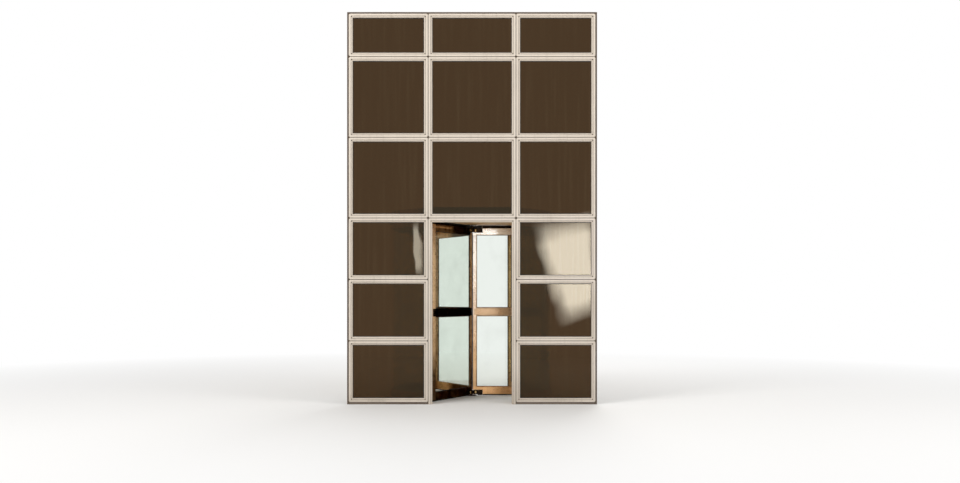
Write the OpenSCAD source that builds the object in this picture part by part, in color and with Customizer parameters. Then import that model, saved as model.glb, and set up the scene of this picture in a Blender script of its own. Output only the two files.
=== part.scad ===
/* [Screen] */
// Width of each side bay, between the centres of its joint lines
side_bay_w = 995; // [800:5:1200]
// Width of the doorway bay, between the centres of its joint lines
door_bay_w = 1097.5; // [1060:2.5:1110]
// Height of each of the three lower rows of lights
lower_row_h = 767.5; // [700:2.5:850]
// Height of each of the two tall rows above the doorway
upper_row_h = 1008; // [800:4:1200]
// Height of the short top row
top_row_h = 540; // [400:5:700]
// Height of the sill strip under the side bays
sill_h = 25; // [15:1:30]
// Depth of the whole screen, front to back
screen_d = 84; // [76:2:100]
// Width of the dark closer round the screen's outer edge
closer_w = 14; // [10:1:20]

/* [Lights] */
// Width of the face of each light's own frame
face_w = 47; // [44:1:60]
// Depth of a light's frame
face_d = 56; // [50:1:60]
// Width of the dark joint between two neighbouring frames
joint_w = 8; // [6:1:12]
// Depth from the front face to the bottom of that joint
joint_d = 14; // [6:1:20]
// Thickness of the screen's glass
pane_t = 10; // [6:1:12]
// Depth from the front face to the glass
pane_d = 24; // [20:1:28]
// Width and depth of the hollow-section grid behind the frames
grid_w = 60; // [50:2:70]

/* [Drum] */
// Inner radius of the drum
drum_r = 1050; // [1040:1:1060]
// Thickness of the curved rails
rail_t = 40; // [36:1:50]
// Height of the curved base rail
base_rail_h = 118; // [90:1:150]
// Height of the curved head rail
head_rail_h = 80; // [60:1:100]
// Half the width of each throat, where people pass in and out
throat_half = 525; // [520:1:530]
// Width of the four throat posts
post_w = 48; // [44:1:60]
// Width of the rubber finger guard let into each post's inner corner
guard_w = 14; // [10:1:18]
// Height of the ceiling over the floor
ceiling_z = 2320; // [2300:1:2350]
// Height of the canopy over the ceiling
canopy_h = 150; // [100:5:300]
// Overhang of the canopy past the curved rails
canopy_lip = 18; // [15:1:40]

/* [Wings] */
// Thickness of a wing's frame
wing_t = 38; // [34:1:40]
// Distance from the shaft's axis to the inner edge of a wing
wing_in_r = 18; // [18:1:28]
// Distance from the shaft's axis to the outer edge of a wing's frame
wing_out_r = 1028; // [1000:1:1028]
// Height of the lower edge of a wing over the floor
wing_low_z = 22; // [22:1:40]
// Height of the upper edge of a wing over the floor
wing_top_z = 2272; // [2260:1:2274]
// Width of the inner stile
inner_stile_w = 44; // [44:1:60]
// Width of the outer stile
outer_stile_w = 70; // [50:1:90]
// Height of the bottom rail
bottom_rail_h = 96; // [80:1:150]
// Height of the top rail
top_rail_h = 84; // [70:1:120]
// Height of the push rail
push_rail_h = 99; // [80:1:120]
// Height of the middle of the push rail over the floor
push_rail_z = 1140; // [950:5:1200]
// Clearance of the sweeps to the drum, the floor and the ceiling
sweep_gap = 6; // [6:1:10]

/* [Hub] */
// Radius of the central tie shaft
shaft_r = 8; // [6:0.5:8]
// Distance from the shaft's axis to each wing's hinge pin
pin_offset = 52; // [52:1:54]
// Radius of the hinge pins
pin_r = 6; // [5:0.5:7]
// Radius of the two hubs
hub_r = 36; // [32:1:38]
// Length of the hanger arms, from the shaft's axis
arm_reach = 143; // [125:1:143]
// Width of a hanger arm
arm_t = 30; // [28:1:32]
// Radius of the brass sleeve round each arm's knuckle
sleeve_r = 20; // [19.5:0.5:20]
// Depth of the notch at a wing's inner corners, where the hangers sit
notch_h = 60; // [54:1:70]

/* [Hidden] */
$fn = 96;

// Joint lines of the screen, across and up
door_line = door_bay_w / 2;
edge_line = door_line + side_bay_w;
door_head_line = sill_h + 3 * lower_row_h;
top_line = door_head_line + 2 * upper_row_h + top_row_h;
lower_lines = [for (i = [0:3]) sill_h + i * lower_row_h];
upper_lines = [for (i = [0:2]) door_head_line + i * upper_row_h];
screen_back = -(drum_r + sweep_gap);
screen_front = screen_back - screen_d;
grid_front = screen_front + face_d;

// Profile of a light's frame, as depth from the front and width from the outer edge
flat_w = 25;
quirk_w = 5;
quirk_d = 9;
bead_set = 3;
bead_flat = 6;
bead_fall = 14;
pocket_w = 10;
corner_clip = 12;
closer_set = 8;
frame_profile = [
    [0, 0], [0, flat_w], [quirk_d, flat_w], [quirk_d, flat_w + quirk_w],
    [bead_set, flat_w + quirk_w], [bead_set, flat_w + quirk_w + bead_flat],
    [bead_fall, face_w], [pane_d, face_w], [pane_d, face_w - pocket_w],
    [pane_d + pane_t, face_w - pocket_w], [pane_d + pane_t, face_w],
    [face_d, face_w], [face_d, 0]
];

// Drum and canopy
rail_out_r = drum_r + rail_t;
canopy_r = rail_out_r + canopy_lip;
canopy_skin = 12;
post_side = throat_half + post_w;
rear_post_reach = 935;
guard_reach = 922;
drum_pane_in = drum_r + 3;
drum_pane_t = 10;
drum_pane_seat = 23;
rail_cap_h = 34;
rail_cap_set = 4;
rail_cant = 11;
sheet_t = 20;
shaft_clear = 3;
lap = 2;

// Edge of the canopy, as distance in from its outline and height: a bead, a flat field and a coved cornice
fascia_profile = [
    [-canopy_skin, 0], [-2, 0], [0, 2], [0, 16], [-3, 19], [-6, 19], [-6, canopy_h - 38],
    [-5, canopy_h - 30], [-2.5, canopy_h - 24], [0, canopy_h - 21], [0, canopy_h], [-canopy_skin, canopy_h]
];

// Wings
wing_angles = [240, 0, 120];
glass_in_r = wing_in_r + inner_stile_w;
glass_out_r = wing_out_r - outer_stile_w;
glass_low_z = wing_low_z + bottom_rail_h;
glass_top_z = wing_top_z - top_rail_h;
push_low_z = push_rail_z - push_rail_h / 2;
push_top_z = push_rail_z + push_rail_h / 2;
notch_gap = 7;
notch_r = arm_reach + notch_gap;
arris = 2.5;
bead_w = 8;
bead_t = 28;
bead_edge_t = 20;
push_edge_r = 8;
wing_pane_t = 10;
sweep_t = 8;
running_gap = 0.08;
thrust_gap = 0.3;
boss_h = 6;
boss_r = 14;
pin_depth = 46;
arm_h = notch_h - boss_h;
arm_nose = 9;
knuckle_r = 17.5;
sleeve_h = 34;
sleeve_edge = 1.5;
hub_band_h = 14;
hub_waist = 8;
flange_gap = 7;
flange_t = 8;
flange_r = 76;
flange_rim = 12;
flange_set = 3;
pivot_r = 70;
pivot_h = 12;
pivot_fall = 6;
socket_z = 4;
collar_r = 20;
collar_h = 5;
bearing_r = 60;
bearing_base_h = 12;
bearing_body_r = 42;
bearing_h = 40;
shaft_low_z = 5;
shaft_rise = 60;

// Keeps only what stands to the right of a line across the plan
module right_of(x) {
    intersection() {
        children();
        translate([x, -2 * drum_r, -10]) cube([2 * drum_r, 4 * drum_r, 2 * top_line]);
    }
}

// Stands a flat outline up in the XZ plane, centred on its own thickness
module upright(t) {
    rotate([90, 0, 0]) linear_extrude(height = t, center = true) children();
}

// The outline of one end of a member: a mitre with its outer corner clipped, or a square cut
function member_end(x, side, mitred) = mitred
    ? [
        [x - side * corner_clip, 0], [x - side * corner_clip / 2, corner_clip / 2],
        [x - side * face_w, face_w]
    ]
    : [[x, 0], [x, face_w]];

function backwards(points) = [for (i = [len(points) - 1:-1:0]) points[i]];

// One length of frame section, lying along X with its outer edge down
module frame_member(length, start_mitred = true, end_mitred = true) {
    intersection() {
        rotate([90, 0, 90]) linear_extrude(height = length, center = true) polygon(frame_profile);
        translate([0, face_d, 0]) rotate([90, 0, 0]) linear_extrude(height = face_d)
            polygon(concat(
                backwards(member_end(-length / 2, -1, start_mitred)),
                member_end(length / 2, 1, end_mitred)
            ));
    }
}

// Four mitred members round one light, its outer edges joint_w inside the joint lines
module light_frame(x0, x1, z0, z1) {
    w = x1 - x0 - joint_w;
    h = z1 - z0 - joint_w;
    translate([(x0 + x1) / 2, screen_front, (z0 + z1) / 2])
        for (i = [0:3])
            rotate([0, -90 * i, 0])
                translate([0, 0, -(i % 2 == 0 ? h : w) / 2]) frame_member(i % 2 == 0 ? w : h);
}

// The pane that sits in the pocket of one light's frame
module light_pane(x0, x1, z0, z1) {
    inset = joint_w / 2 + face_w - pocket_w;
    translate([x0 + inset, screen_front + pane_d, z0 + inset])
        cube([x1 - x0 - 2 * inset, pane_t, z1 - z0 - 2 * inset]);
}

module lower_lights(x0, x1) {
    for (i = [0:2])
        color("ivory") light_frame(x0, x1, lower_lines[i], lower_lines[i + 1]);
}

module upper_lights(x0, x1) {
    for (i = [0:1])
        color("ivory") light_frame(x0, x1, upper_lines[i], upper_lines[i + 1]);
    color("ivory") light_frame(x0, x1, upper_lines[2], top_line);
}

module upper_panes(x0, x1) {
    for (i = [0:1])
        color("saddlebrown") light_pane(x0, x1, upper_lines[i], upper_lines[i + 1]);
    color("saddlebrown") light_pane(x0, x1, upper_lines[2], top_line);
}

module side_panes(x0, x1) {
    for (i = [0:2])
        color("saddlebrown") light_pane(x0, x1, lower_lines[i], lower_lines[i + 1]);
    upper_panes(x0, x1);
}

// Dark closer up both sides of the screen and over its top
module edge_closer() {
    inner = edge_line + joint_w / 2;
    inner_top = top_line + joint_w / 2;
    color("saddlebrown")
        translate([0, screen_back, 0])
            rotate([90, 0, 0])
                linear_extrude(height = screen_d - closer_set)
                    difference() {
                        translate([-inner - closer_w, 0])
                            square([2 * (inner + closer_w), inner_top + closer_w]);
                        translate([-inner, -1]) square([2 * inner, inner_top + 1]);
                    }
}

// One strip under each side bay, set back from the frames that stand on it
module sills() {
    for (side = [-1, 1])
        color("saddlebrown")
            translate([side * (door_line + edge_line) / 2, 0, 0]) {
                translate([-(side_bay_w - joint_w) / 2, screen_front + closer_set, 0])
                    cube([side_bay_w - joint_w, face_d - closer_set, sill_h + joint_w / 2]);
                translate([-(side_bay_w - grid_w) / 2, grid_front, 0])
                    cube([side_bay_w - grid_w, screen_d - face_d, sill_h + joint_w / 2]);
            }
}

// A web in the joint between two frames, with a box behind them that spans from left to right of it
module mullion(x, left, right) {
    color("tan") {
        translate([x - joint_w / 2, screen_front + joint_d, 0])
            cube([joint_w, face_d - joint_d, top_line + joint_w / 2]);
        translate([x - left, grid_front, 0])
            cube([left + right, screen_d - face_d, top_line + joint_w / 2]);
    }
}

module screen_mullions() {
    mullion(-edge_line, joint_w / 2, grid_w / 2);
    mullion(-door_line, grid_w / 2, grid_w / 2);
    mullion(door_line, grid_w / 2, grid_w / 2);
    mullion(edge_line, grid_w / 2, joint_w / 2);
}

// A transom between two mullions, with the same web and box
module transom(x0, x1, z) {
    color("tan") {
        translate([x0 + joint_w / 2, screen_front + joint_d, z - joint_w / 2])
            cube([x1 - x0 - joint_w, face_d - joint_d, joint_w]);
        translate([x0 + grid_w / 2, grid_front, z - grid_w / 2])
            cube([x1 - x0 - grid_w, screen_d - face_d, grid_w]);
    }
}

module screen_transoms() {
    for (z = concat([lower_lines[1], lower_lines[2]], upper_lines)) {
        transom(-edge_line, -door_line, z);
        transom(door_line, edge_line, z);
    }
    for (z = upper_lines) transom(-door_line, door_line, z);
}

module left_lower_frames() {
    lower_lights(-edge_line, -door_line);
}

module left_upper_frames() {
    upper_lights(-edge_line, -door_line);
}

module right_lower_frames() {
    lower_lights(door_line, edge_line);
}

module right_upper_frames() {
    upper_lights(door_line, edge_line);
}

module centre_frames() {
    upper_lights(-door_line, door_line);
}

// Head and two jambs of the same section, with the jambs standing on the floor
module doorway_frame() {
    w = door_bay_w - joint_w;
    h = door_head_line - joint_w / 2;
    color("ivory") translate([0, screen_front, 0]) {
        translate([0, 0, h]) rotate([0, 180, 0]) frame_member(w);
        translate([w / 2, 0, h / 2]) rotate([0, -90, 0]) frame_member(h, false, true);
        translate([-w / 2, 0, h / 2]) rotate([0, 90, 0]) frame_member(h, true, false);
    }
}

module left_panes() {
    side_panes(-edge_line, -door_line);
}

module right_panes() {
    side_panes(door_line, edge_line);
}

module centre_panes() {
    upper_panes(-door_line, door_line);
}

// The plan of a post's rubber finger guard, from the throat's edge back to the drum's circle
module guard_outline() {
    difference() {
        translate([throat_half, -guard_reach]) square([guard_w, guard_reach - drum_r / 2]);
        circle(r = drum_r, $fn = 180);
    }
}

// A post whose inner face is hollowed to the drum's circle, and whose outer end is at a given reach
module throat_post(reach) {
    color("darkgoldenrod")
        linear_extrude(height = ceiling_z)
            difference() {
                polygon([
                    [throat_half, -drum_r / 2], [throat_half, -reach + arris], [throat_half + arris, -reach],
                    [post_side - arris, -reach], [post_side, -reach + arris], [post_side, -drum_r / 2]
                ]);
                circle(r = drum_r, $fn = 180);
                guard_outline();
            }
}

// Rubber strips that soften the corner where a wing meets each post
module finger_guards() {
    for (side = [0, 1], turn = [0, 1])
        color("black")
            mirror([side, 0, 0]) mirror([0, turn, 0])
                linear_extrude(height = ceiling_z) guard_outline();
}

module front_left_post() {
    mirror([1, 0, 0]) throat_post(-screen_back);
}

module front_right_post() {
    throat_post(-screen_back);
}

module rear_left_post() {
    rotate([0, 0, 180]) throat_post(rear_post_reach);
}

module rear_right_post() {
    mirror([0, 1, 0]) throat_post(rear_post_reach);
}

// Curved base rail with the channel that the glass stands in
module base_rail() {
    color("darkgoldenrod")
        right_of(post_side)
            rotate_extrude($fn = 180)
                difference() {
                    polygon([
                        [drum_r, 0], [rail_out_r, 0], [rail_out_r, base_rail_h - rail_cap_h],
                        [rail_out_r - rail_cap_set, base_rail_h - rail_cap_h + rail_cap_set],
                        [rail_out_r - rail_cap_set, base_rail_h - rail_cant],
                        [rail_out_r - rail_cap_set - rail_cant, base_rail_h], [drum_r, base_rail_h]
                    ]);
                    translate([drum_pane_in, base_rail_h - drum_pane_seat])
                        square([drum_pane_t, drum_pane_seat + 1]);
                }
}

module left_base_rail() {
    mirror([1, 0, 0]) base_rail();
}

module right_base_rail() {
    base_rail();
}

// Curved head rail under the ceiling, with the same channel turned down
module head_rail() {
    color("darkgoldenrod")
        right_of(post_side)
            rotate_extrude($fn = 180)
                difference() {
                    polygon([
                        [drum_r, ceiling_z - head_rail_h],
                        [rail_out_r - rail_cant, ceiling_z - head_rail_h],
                        [rail_out_r, ceiling_z - head_rail_h + rail_cant],
                        [rail_out_r, ceiling_z], [drum_r, ceiling_z]
                    ]);
                    translate([drum_pane_in, ceiling_z - head_rail_h - 1])
                        square([drum_pane_t, drum_pane_seat + 1]);
                }
}

module left_head_rail() {
    mirror([1, 0, 0]) head_rail();
}

module right_head_rail() {
    head_rail();
}

module drum_glass() {
    low = base_rail_h - drum_pane_seat;
    color("lightsteelblue")
        right_of(post_side)
            rotate_extrude($fn = 180)
                translate([drum_pane_in, low])
                    square([drum_pane_t, ceiling_z - head_rail_h + drum_pane_seat - low]);
}

module left_drum_glass() {
    mirror([1, 0, 0]) drum_glass();
}

module right_drum_glass() {
    drum_glass();
}

// The canopy's outline: round, with a square front that covers the throat and stops at the screen's back
module canopy_outline(skin = 0) {
    front = screen_back + skin;
    half = post_side + canopy_lip - skin;
    difference() {
        circle(r = canopy_r - skin, $fn = 180);
        translate([-canopy_r, front - canopy_r]) square([2 * canopy_r, canopy_r]);
    }
    translate([-half, front]) square([2 * half, -front]);
}

module ceiling_disc() {
    color("wheat")
        translate([0, 0, ceiling_z])
            linear_extrude(height = sheet_t)
                difference() {
                    canopy_outline(canopy_skin);
                    circle(r = shaft_r + shaft_clear);
                }
}

// The moulded edge runs round the drum, turns straight at both sides of the throat and stops at the screen
module canopy_fascia() {
    half = post_side + canopy_lip;
    bend = sqrt(pow(canopy_r - canopy_skin, 2) - pow(half - canopy_skin, 2));
    color("darkgoldenrod")
        translate([0, 0, ceiling_z]) {
            difference() {
                rotate_extrude($fn = 180) translate([canopy_r, 0]) polygon(fascia_profile);
                translate([-half + canopy_skin - lap, -2 * canopy_r, -1])
                    cube([2 * (half - canopy_skin + lap), 2 * canopy_r, canopy_h + 2]);
            }
            for (side = [0, 1])
                mirror([side, 0, 0])
                    translate([half, screen_back, 0])
                        mirror([0, 1, 0]) rotate([90, 0, 0])
                            linear_extrude(height = -screen_back - bend)
                                polygon(fascia_profile);
            translate([-half + canopy_skin / 2, screen_back, 0])
                cube([2 * half - canopy_skin, canopy_skin, canopy_h]);
        }
}

module canopy_cover() {
    color("darkgoldenrod")
        translate([0, 0, ceiling_z + canopy_h - canopy_skin])
            linear_extrude(height = canopy_skin) canopy_outline(canopy_skin);
}

// Dark turned flange under the ceiling round the shaft
module ceiling_flange() {
    color("darkslategray")
        translate([0, 0, ceiling_z])
            rotate_extrude()
                polygon([
                    [shaft_r + running_gap, 0], [shaft_r + running_gap, -flange_t],
                    [flange_r - flange_rim - flange_set, -flange_t],
                    [flange_r - flange_rim, -flange_t + flange_set],
                    [flange_r - arris, -flange_t + flange_set],
                    [flange_r, -flange_t + flange_set + arris], [flange_r, 0]
                ]);
}

// Flanged bearing on top of the ceiling, hidden in the canopy
module top_bearing() {
    color("dimgray")
        translate([0, 0, ceiling_z + sheet_t])
            difference() {
                union() {
                    cylinder(h = bearing_base_h, r = bearing_r);
                    cylinder(h = bearing_h, r = bearing_body_r);
                }
                translate([0, 0, -1]) cylinder(h = bearing_h + 2, r = shaft_r + running_gap);
            }
}

// Floor plate with a collar, and the socket in it that the shaft turns in
module floor_pivot() {
    color("darkslategray")
        difference() {
            union() {
                cylinder(h = pivot_h, r1 = pivot_r, r2 = pivot_r - pivot_fall);
                cylinder(h = pivot_h + collar_h, r = collar_r);
            }
            translate([0, 0, socket_z]) cylinder(h = pivot_h + collar_h, r = shaft_r + running_gap);
        }
}

module centre_shaft() {
    color("dimgray")
        translate([0, 0, shaft_low_z])
            cylinder(h = ceiling_z + sheet_t + shaft_rise - shaft_low_z, r = shaft_r);
}

// One hanger arm with its knuckle, its boss and the pin that carries a wing
module hanger_arm(angle) {
    rotate([0, 0, angle]) {
        linear_extrude(height = arm_h)
            polygon([
                [0, -arm_t / 2], [arm_reach - arm_nose, -arm_t / 2], [arm_reach, -arm_t / 2 + arm_nose],
                [arm_reach, arm_t / 2 - arm_nose], [arm_reach - arm_nose, arm_t / 2], [0, arm_t / 2]
            ]);
        translate([pin_offset, 0, 0]) {
            cylinder(h = arm_h, r = knuckle_r);
            cylinder(h = arm_h + boss_h - thrust_gap, r = boss_r);
            cylinder(h = arm_h + boss_h + pin_depth, r = pin_r);
        }
    }
}

// A hub turned with a waist between two shoulders, from the arms' lower face to a given height
module turned_hub(high) {
    rotate_extrude()
        polygon([
            [0, 0], [hub_r - arris, 0], [hub_r, arris], [hub_r, hub_band_h],
            [hub_r - hub_waist, hub_band_h + hub_waist], [hub_r - hub_waist, arm_h - hub_band_h - hub_waist],
            [hub_r, arm_h - hub_band_h], [hub_r, high - arris], [hub_r - arris, high], [0, high]
        ]);
}

// Lower spider: hub, three arms and three pins that point up
module bottom_hub() {
    low = wing_low_z + notch_h - boss_h - arm_h;
    color("darkslategray")
        difference() {
            translate([0, 0, low]) {
                turned_hub(arm_h);
                for (a = wing_angles) hanger_arm(a);
            }
            cylinder(h = low + arm_h + 1, r = shaft_r);
        }
}

// Upper spider, turned over, with a deeper hub that reaches up to the ceiling's flange
module hanger_hub() {
    high = wing_top_z - notch_h + boss_h + arm_h;
    top = ceiling_z - flange_t - flange_gap;
    color("darkslategray")
        difference() {
            union() {
                translate([0, 0, high - arm_h]) turned_hub(top - high + arm_h);
                translate([0, 0, high]) mirror([0, 0, 1])
                    for (a = wing_angles) hanger_arm(a);
            }
            translate([0, 0, high - arm_h - 1])
                cylinder(h = top, r = shaft_r);
        }
}

// Half of a brass sleeve on a knuckle: a collar split where the arm passes through it
module knuckle_sleeve() {
    difference() {
        rotate_extrude()
            polygon([
                [knuckle_r, 0], [sleeve_r - sleeve_edge, 0], [sleeve_r, sleeve_edge],
                [sleeve_r, sleeve_h - sleeve_edge], [sleeve_r - sleeve_edge, sleeve_h], [knuckle_r, sleeve_h]
            ]);
        translate([-2 * sleeve_r, -arm_t / 2, -1]) cube([4 * sleeve_r, arm_t, sleeve_h + 2]);
    }
}

module pin_sleeves() {
    low = wing_low_z + (notch_h - boss_h - sleeve_h) / 2;
    high = wing_top_z - (notch_h - boss_h + sleeve_h) / 2;
    for (a = wing_angles, z = [low, high])
        color("gold")
            rotate([0, 0, a]) translate([pin_offset, 0, z]) knuckle_sleeve();
}

// The two lights of a wing, under and over the push rail, grown by an inset
module wing_lights(inset = 0) {
    for (span = [[glass_low_z, push_low_z], [push_top_z, glass_top_z]])
        translate([glass_in_r + inset, span[0] + inset])
            square([glass_out_r - glass_in_r - 2 * inset, span[1] - span[0] - 2 * inset]);
}

// A bar's section, w by t, with its four arrises cut off
module bar_section(w, t) {
    polygon([
        for (c = [[1, 1], [-1, 1], [-1, -1], [1, -1]], k = c[0] * c[1] > 0 ? [0, 1] : [1, 0])
            [c[0] * (w / 2 - k * arris), c[1] * (t / 2 - (1 - k) * arris)]
    ]);
}

// An upright bar of the frame, from one radius to another
module stile(r0, r1) {
    translate([(r0 + r1) / 2, 0, wing_low_z])
        linear_extrude(height = wing_top_z - wing_low_z) bar_section(r1 - r0, wing_t);
}

// A level bar of the frame, from one height to another, between the stiles
module rail(z0, z1) {
    translate([glass_in_r - arris, 0, (z0 + z1) / 2])
        rotate([90, 0, 90])
            linear_extrude(height = glass_out_r - glass_in_r + 2 * arris)
                rotate([0, 0, 90]) bar_section(z1 - z0, wing_t);
}

// One length of glazing bead, mitred at both ends, with its outer edge down
module bead_length(length) {
    intersection() {
        rotate([90, 0, 90])
            linear_extrude(height = length, center = true)
                polygon([
                    [-bead_t / 2, 0], [bead_t / 2, 0], [bead_t / 2, bead_w / 3],
                    [bead_edge_t / 2, bead_w], [-bead_edge_t / 2, bead_w], [-bead_t / 2, bead_w / 3]
                ]);
        upright(2 * wing_t)
            polygon([
                [-length / 2, 0], [length / 2, 0],
                [length / 2 - bead_w, bead_w], [-length / 2 + bead_w, bead_w]
            ]);
    }
}

// Four beads round one light of a wing
module bead_ring(z0, z1) {
    w = glass_out_r - glass_in_r;
    h = z1 - z0;
    translate([(glass_in_r + glass_out_r) / 2, 0, (z0 + z1) / 2])
        for (i = [0:3])
            rotate([0, -90 * i, 0])
                translate([0, 0, -(i % 2 == 0 ? h : w) / 2]) bead_length(i % 2 == 0 ? w : h);
}

module wing_frame(angle) {
    color("goldenrod")
        rotate([0, 0, angle])
            difference() {
                union() {
                    stile(wing_in_r, glass_in_r);
                    stile(glass_out_r, wing_out_r);
                    rail(wing_low_z, glass_low_z);
                    rail(glass_top_z, wing_top_z);
                    bead_ring(glass_low_z, push_low_z);
                    bead_ring(push_top_z, glass_top_z);
                }
                for (z = [wing_low_z - 1, wing_top_z - notch_h])
                    translate([0, -wing_t, z]) cube([notch_r, 2 * wing_t, notch_h + 1]);
                upright(wing_pane_t) wing_lights();
                for (z = [wing_low_z + notch_h - 1, wing_top_z - notch_h - pin_depth - 2])
                    translate([pin_offset, 0, z])
                        cylinder(h = pin_depth + 3, r = pin_r + running_gap);
            }
}

// The push rail's section has its long edges rounded, top and bottom
module push_section() {
    w = wing_t / 2 - push_edge_r;
    h = push_rail_h / 2 - push_edge_r;
    square([wing_t - 2 * push_edge_r, push_rail_h], center = true);
    square([wing_t, push_rail_h - 2 * push_edge_r], center = true);
    for (x = [-w, w], y = [-h, h]) translate([x, y]) circle(r = push_edge_r, $fn = 48);
}

module wing_push_rail(angle) {
    color("goldenrod")
        rotate([0, 0, angle])
            translate([glass_in_r, 0, push_rail_z])
                rotate([90, 0, 90])
                    linear_extrude(height = glass_out_r - glass_in_r) push_section();
}

module wing_glass(angle) {
    color("lightsteelblue")
        rotate([0, 0, angle])
            upright(wing_pane_t) wing_lights();
}

// Brush strip along the bottom, outer and top edges
module wing_sweeps(angle) {
    low = sweep_gap;
    high = ceiling_z - sweep_gap;
    out_r = drum_r - sweep_gap;
    color("black")
        rotate([0, 0, angle])
            upright(sweep_t)
                difference() {
                    translate([notch_r, low]) square([out_r - notch_r, high - low]);
                    translate([notch_r - 1, wing_low_z])
                        square([wing_out_r - notch_r + 1, wing_top_z - wing_low_z]);
                }
}

module front_wing_frame() { wing_frame(wing_angles[0]); }
module front_wing_push_rail() { wing_push_rail(wing_angles[0]); }
module front_wing_glass() { wing_glass(wing_angles[0]); }
module front_wing_sweeps() { wing_sweeps(wing_angles[0]); }
module right_wing_frame() { wing_frame(wing_angles[1]); }
module right_wing_push_rail() { wing_push_rail(wing_angles[1]); }
module right_wing_glass() { wing_glass(wing_angles[1]); }
module right_wing_sweeps() { wing_sweeps(wing_angles[1]); }
module rear_wing_frame() { wing_frame(wing_angles[2]); }
module rear_wing_push_rail() { wing_push_rail(wing_angles[2]); }
module rear_wing_glass() { wing_glass(wing_angles[2]); }
module rear_wing_sweeps() { wing_sweeps(wing_angles[2]); }

edge_closer();
sills();
screen_mullions();
screen_transoms();
left_lower_frames();
left_upper_frames();
right_lower_frames();
right_upper_frames();
centre_frames();
doorway_frame();
left_panes();
right_panes();
centre_panes();
front_left_post();
front_right_post();
rear_left_post();
rear_right_post();
left_base_rail();
right_base_rail();
left_head_rail();
right_head_rail();
left_drum_glass();
right_drum_glass();
finger_guards();
ceiling_disc();
canopy_fascia();
canopy_cover();
ceiling_flange();
top_bearing();
floor_pivot();
centre_shaft();
hanger_hub();
bottom_hub();
pin_sleeves();
front_wing_frame();
front_wing_push_rail();
front_wing_glass();
front_wing_sweeps();
right_wing_frame();
right_wing_push_rail();
right_wing_glass();
right_wing_sweeps();
rear_wing_frame();
rear_wing_push_rail();
rear_wing_glass();
rear_wing_sweeps();
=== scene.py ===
import math
import random

import bmesh
import bpy
from mathutils import Matrix, Vector


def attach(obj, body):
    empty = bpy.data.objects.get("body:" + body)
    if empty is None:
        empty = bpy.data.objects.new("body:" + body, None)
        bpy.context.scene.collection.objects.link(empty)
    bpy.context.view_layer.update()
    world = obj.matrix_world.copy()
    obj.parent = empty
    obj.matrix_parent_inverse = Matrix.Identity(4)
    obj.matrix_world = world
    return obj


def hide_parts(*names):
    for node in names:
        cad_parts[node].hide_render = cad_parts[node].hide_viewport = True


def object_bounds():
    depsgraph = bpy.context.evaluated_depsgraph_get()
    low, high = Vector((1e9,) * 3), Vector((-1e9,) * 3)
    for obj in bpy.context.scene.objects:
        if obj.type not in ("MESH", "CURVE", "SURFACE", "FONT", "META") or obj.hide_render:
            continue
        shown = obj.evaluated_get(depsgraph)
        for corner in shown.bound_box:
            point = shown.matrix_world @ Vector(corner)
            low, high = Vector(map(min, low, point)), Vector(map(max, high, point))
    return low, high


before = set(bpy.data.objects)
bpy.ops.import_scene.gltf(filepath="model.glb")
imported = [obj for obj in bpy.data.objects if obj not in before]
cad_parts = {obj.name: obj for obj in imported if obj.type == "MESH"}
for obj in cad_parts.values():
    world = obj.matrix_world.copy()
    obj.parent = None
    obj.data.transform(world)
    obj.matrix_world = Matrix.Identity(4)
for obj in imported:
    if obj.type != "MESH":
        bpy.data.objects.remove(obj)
cad_low, cad_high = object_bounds()

# The camera
# It stands 12.9 m in front of the screen and 1.35 m over the floor, a little left of the middle, and looks
# straight ahead. The picture is framed off to one side and upwards, so the lens is shifted and not turned.
camera_data = bpy.data.cameras.new("camera")
camera_data.sensor_width = 36.0
camera_data.lens = 38.59
camera_data.shift_x = 0.0143
camera_data.shift_y = 0.0568
camera_data.clip_end = 300.0
camera = bpy.data.objects.new("camera", camera_data)
camera.location = (-0.0723, -13.992, 1.3528)
camera.rotation_euler = (math.pi / 2, 0, 0)
bpy.context.scene.collection.objects.link(camera)
bpy.context.scene.camera = camera


# The joints of the screen
# A grid of painted hollow sections stands behind the frames, and its webs show as dark lines between them.
# Where four frames meet, their clipped corners leave a small square hole, closed with a brown rubber plug
# whose very dark brown is partly painted shade in the hole.
front_y = cad_low.y
joint_w = 0.008
joint_d = 0.014
edge_x = 1.54375
door_x = 0.54875
head_z = 2.3275
top_z = 4.8835
lower_lines = [0.025, 0.7925, 1.56, head_z]
upper_lines = [head_z, 3.3355, 4.3435, top_z]


def shader_node(tree, kind, inputs=(), **settings):
    """Adds a node to a material or an effect. An input takes a plain value, or the socket that feeds it."""
    node = tree.nodes.new(kind)
    for name, value in settings.items():
        setattr(node, name, value)
    for name, value in dict(inputs).items():
        if isinstance(value, bpy.types.NodeSocket):
            tree.links.new(value, node.inputs[name])
        else:
            node.inputs[name].default_value = value
    return node


def arithmetic(tree, operation, first, second=0.5, third=0.5):
    """The result of one sum on two or three numbers or sockets."""
    sum_node = shader_node(tree, "ShaderNodeMath", {0: first, 1: second, 2: third}, operation=operation)
    return sum_node.outputs[0]


def product(tree, *factors):
    """Several masks multiplied together, so that it shows only where all of them do."""
    result = factors[0]
    for factor in factors[1:]:
        result = arithmetic(tree, "MULTIPLY", result, factor)
    return result


def either(tree, first, second):
    """The stronger of two masks."""
    return arithmetic(tree, "MAXIMUM", first, second)


def colour_mix(tree, factor, first, second):
    """Two colours mixed by a mask."""
    mixed = shader_node(tree, "ShaderNodeMix", {0: factor, 6: first, 7: second}, data_type="RGBA")
    return mixed.outputs[2]


def noise(tree, vector, scale, detail=3.0, stretch=(1, 1, 1)):
    """Noise from 0 to 1, finer along an axis where stretch is greater."""
    mapped = shader_node(tree, "ShaderNodeMapping", {"Vector": vector, "Scale": stretch})
    return shader_node(
        tree, "ShaderNodeTexNoise", {"Vector": mapped.outputs[0], "Scale": scale, "Detail": detail}
    ).outputs["Fac"]


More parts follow.
